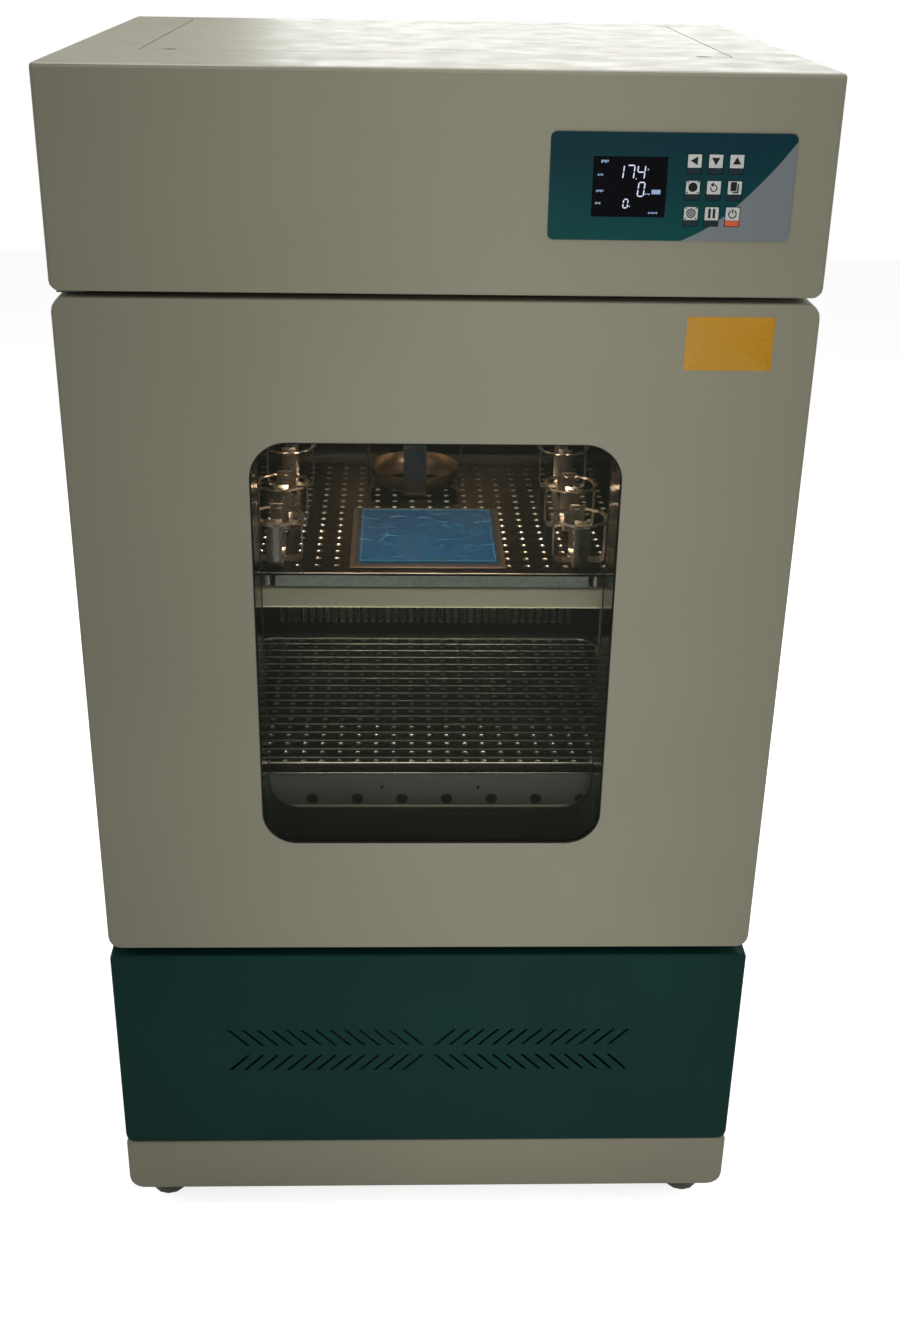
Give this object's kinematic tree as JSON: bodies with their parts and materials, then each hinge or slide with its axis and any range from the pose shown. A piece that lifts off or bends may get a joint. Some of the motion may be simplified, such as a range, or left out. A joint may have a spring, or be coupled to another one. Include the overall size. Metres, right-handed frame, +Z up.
{
  "type": "shaking incubator",
  "caption": "Floor-standing shaking incubator: windowed hinged door, keypad header, slotted teal skirt and an orbiting two-tier platform rack.",
  "frame": {"origin": "on the floor under the middle of the cabinet's bounding box", "axes": "+Z up, -Y out of the door, +X to the right of a person facing the door"},
  "size_m": [0.78, 0.68, 1.422],
  "materials": {
    "body_paint": "warm grey powder coat with a fine satin texture",
    "door_paint": "the same warm grey powder coat, on a foam-filled door",
    "skirt_paint": "dark teal powder coat, satin",
    "stainless": "bright rolled stainless sheet and spring wire",
    "zinc_steel": "zinc-plated steel",
    "machine_black": "black enamel on motors, compressor and condenser",
    "black_plastic": "black glass-filled nylon",
    "overlay_film": "printed teal polycarbonate film, satin",
    "key_film": "white printed key film",
    "display_glass": "black display lens with white plain digits",
    "circuit_board": "solder-masked circuit board",
    "cast_alloy": "machined aluminium casting",
    "seal_rubber": "grey-black extruded rubber",
    "window_glass": "clear tempered glass",
    "foam_core": "painted steel face over rigid foam insulation",
    "mat_blue": "blue tacky mat under clear crinkled film",
    "caster_tyre": "grey-black solid rubber wheel"
  },
  "bodies": {
    "cabinet": {"plinth": "body_paint", "base_deck": "zinc_steel", "side_panel_left": "body_paint", "side_panel_right": "body_paint", "back_panel": "body_paint", "header_cover": "body_paint", "top_hatch": "body_paint", "cable_gland": "black_plastic", "skirt_panel": "skirt_paint", "insulated_body": "foam_core", "chamber_liner": "stainless", "duct_panel": "stainless", "evaporator": "zinc_steel", "fan_motor": "machine_black", "hinge_upper": "zinc_steel", "hinge_lower": "zinc_steel", "control_panel": "overlay_film", "display": "display_glass", "control_board": "circuit_board", "bearing_bed": "cast_alloy", "drive_motor": "machine_black", "drive_belt": "seal_rubber", "compressor": "machine_black", "condenser": "machine_black"},
    "door": {"door_skin": "door_paint", "door_liner": "door_paint", "outer_glass": "window_glass", "inner_glass": "window_glass", "door_gasket": "seal_rubber"},
    "crank": {"drive_crank": "cast_alloy"},
    "rack": {"rack_frame": "body_paint", "lower_platform": "stainless", "upper_platform": "stainless", "spring_rack": "stainless", "large_clamp": "stainless", "mat_tray": "stainless", "tacky_mat": "mat_blue"},
    "motor_shaft": {"motor_pulley": "cast_alloy"},
    "fan": {"circulation_fan": "black_plastic"},
    "idler_1": {"idler_crank_1": "cast_alloy"},
    "idler_2": {"idler_crank_2": "cast_alloy"},
    "idler_3": {"idler_crank_3": "cast_alloy"},
    "key_1_cap": {"key_1": "key_film"},
    "key_2_cap": {"key_2": "key_film"},
    "key_3_cap": {"key_3": "key_film"},
    "key_4_cap": {"key_4": "key_film"},
    "key_5_cap": {"key_5": "key_film"},
    "key_6_cap": {"key_6": "key_film"},
    "key_7_cap": {"key_7": "key_film"},
    "key_8_cap": {"key_8": "key_film"},
    "key_9_cap": {"key_9": "key_film"},
    "caster_1": {"caster_fork_1": "zinc_steel"},
    "wheel_1": {"caster_wheel_1": "caster_tyre"},
    "caster_2": {"caster_fork_2": "zinc_steel"},
    "wheel_2": {"caster_wheel_2": "caster_tyre"},
    "caster_3": {"caster_fork_3": "zinc_steel"},
    "wheel_3": {"caster_wheel_3": "caster_tyre"},
    "caster_4": {"caster_fork_4": "zinc_steel"},
    "wheel_4": {"caster_wheel_4": "caster_tyre"}
  },
  "joints": [
    {"name": "door_hinge", "type": "hinge", "parent": "cabinet", "child": "door", "pos_m": [-0.376, -0.31, 0.806], "axis": [0, 0, -1], "range_deg": [0, 115]},
    {"name": "drive_spin", "type": "hinge", "parent": "cabinet", "child": "crank", "pos_m": [-0.013, -0.01, 0.475], "axis": [0, 0, 1], "continuous": true},
    {"name": "rack_orbit", "type": "hinge", "parent": "crank", "child": "rack", "pos_m": [0, -0.01, 0.49], "axis": [0, 0, 1], "continuous": true},
    {"name": "motor_spin", "type": "hinge", "parent": "cabinet", "child": "motor_shaft", "pos_m": [0.157, -0.01, 0.361], "axis": [0, 0, 1], "continuous": true},
    {"name": "fan_spin", "type": "hinge", "parent": "cabinet", "child": "fan", "pos_m": [0, 0.24, 0.98], "axis": [0, 1, 0], "continuous": true},
    {"name": "idler_1_spin", "type": "hinge", "parent": "cabinet", "child": "idler_1", "pos_m": [-0.203, -0.14, 0.475], "axis": [0, 0, 1], "continuous": true},
    {"name": "idler_2_spin", "type": "hinge", "parent": "cabinet", "child": "idler_2", "pos_m": [0.177, -0.14, 0.475], "axis": [0, 0, 1], "continuous": true},
    {"name": "idler_3_spin", "type": "hinge", "parent": "cabinet", "child": "idler_3", "pos_m": [-0.013, 0.14, 0.475], "axis": [0, 0, 1], "continuous": true},
    {"name": "key_1_press", "type": "slide", "parent": "cabinet", "child": "key_1_cap", "axis": [0, 1, 0], "range_m": [0, 0.0005], "stiffness_N_per_m": 400},
    {"name": "key_2_press", "type": "slide", "parent": "cabinet", "child": "key_2_cap", "axis": [0, 1, 0], "range_m": [0, 0.0005], "stiffness_N_per_m": 400},
    {"name": "key_3_press", "type": "slide", "parent": "cabinet", "child": "key_3_cap", "axis": [0, 1, 0], "range_m": [0, 0.0005], "stiffness_N_per_m": 400},
    {"name": "key_4_press", "type": "slide", "parent": "cabinet", "child": "key_4_cap", "axis": [0, 1, 0], "range_m": [0, 0.0005], "stiffness_N_per_m": 400},
    {"name": "key_5_press", "type": "slide", "parent": "cabinet", "child": "key_5_cap", "axis": [0, 1, 0], "range_m": [0, 0.0005], "stiffness_N_per_m": 400},
    {"name": "key_6_press", "type": "slide", "parent": "cabinet", "child": "key_6_cap", "axis": [0, 1, 0], "range_m": [0, 0.0005], "stiffness_N_per_m": 400},
    {"name": "key_7_press", "type": "slide", "parent": "cabinet", "child": "key_7_cap", "axis": [0, 1, 0], "range_m": [0, 0.0005], "stiffness_N_per_m": 400},
    {"name": "key_8_press", "type": "slide", "parent": "cabinet", "child": "key_8_cap", "axis": [0, 1, 0], "range_m": [0, 0.0005], "stiffness_N_per_m": 400},
    {"name": "key_9_press", "type": "slide", "parent": "cabinet", "child": "key_9_cap", "axis": [0, 1, 0], "range_m": [0, 0.0005], "stiffness_N_per_m": 400},
    {"name": "caster_1_swivel", "type": "hinge", "parent": "cabinet", "child": "caster_1", "pos_m": [-0.26, -0.22, 0.1], "axis": [0, 0, 1], "continuous": true},
    {"name": "caster_1_roll", "type": "hinge", "parent": "caster_1", "child": "wheel_1", "pos_m": [-0.26, -0.2, 0.028], "axis": [1, 0, 0], "continuous": true},
    {"name": "caster_2_swivel", "type": "hinge", "parent": "cabinet", "child": "caster_2", "pos_m": [-0.26, 0.22, 0.1], "axis": [0, 0, 1], "continuous": true},
    {"name": "caster_2_roll", "type": "hinge", "parent": "caster_2", "child": "wheel_2", "pos_m": [-0.26, 0.24, 0.028], "axis": [1, 0, 0], "continuous": true},
    {"name": "caster_3_swivel", "type": "hinge", "parent": "cabinet", "child": "caster_3", "pos_m": [0.26, -0.22, 0.1], "axis": [0, 0, 1], "continuous": true},
    {"name": "caster_3_roll", "type": "hinge", "parent": "caster_3", "child": "wheel_3", "pos_m": [0.26, -0.2, 0.028], "axis": [1, 0, 0], "continuous": true},
    {"name": "caster_4_swivel", "type": "hinge", "parent": "cabinet", "child": "caster_4", "pos_m": [0.26, 0.22, 0.1], "axis": [0, 0, 1], "continuous": true},
    {"name": "caster_4_roll", "type": "hinge", "parent": "caster_4", "child": "wheel_4", "pos_m": [0.26, 0.24, 0.028], "axis": [1, 0, 0], "continuous": true}
  ],
  "couplings": [
    {"joint": "rack_orbit", "follows": "drive_spin", "ratio": -1},
    {"joint": "motor_spin", "follows": "drive_spin", "ratio": 3.2},
    {"joint": "idler_1_spin", "follows": "drive_spin", "ratio": 1},
    {"joint": "idler_2_spin", "follows": "drive_spin", "ratio": 1},
    {"joint": "idler_3_spin", "follows": "drive_spin", "ratio": 1}
  ]
}
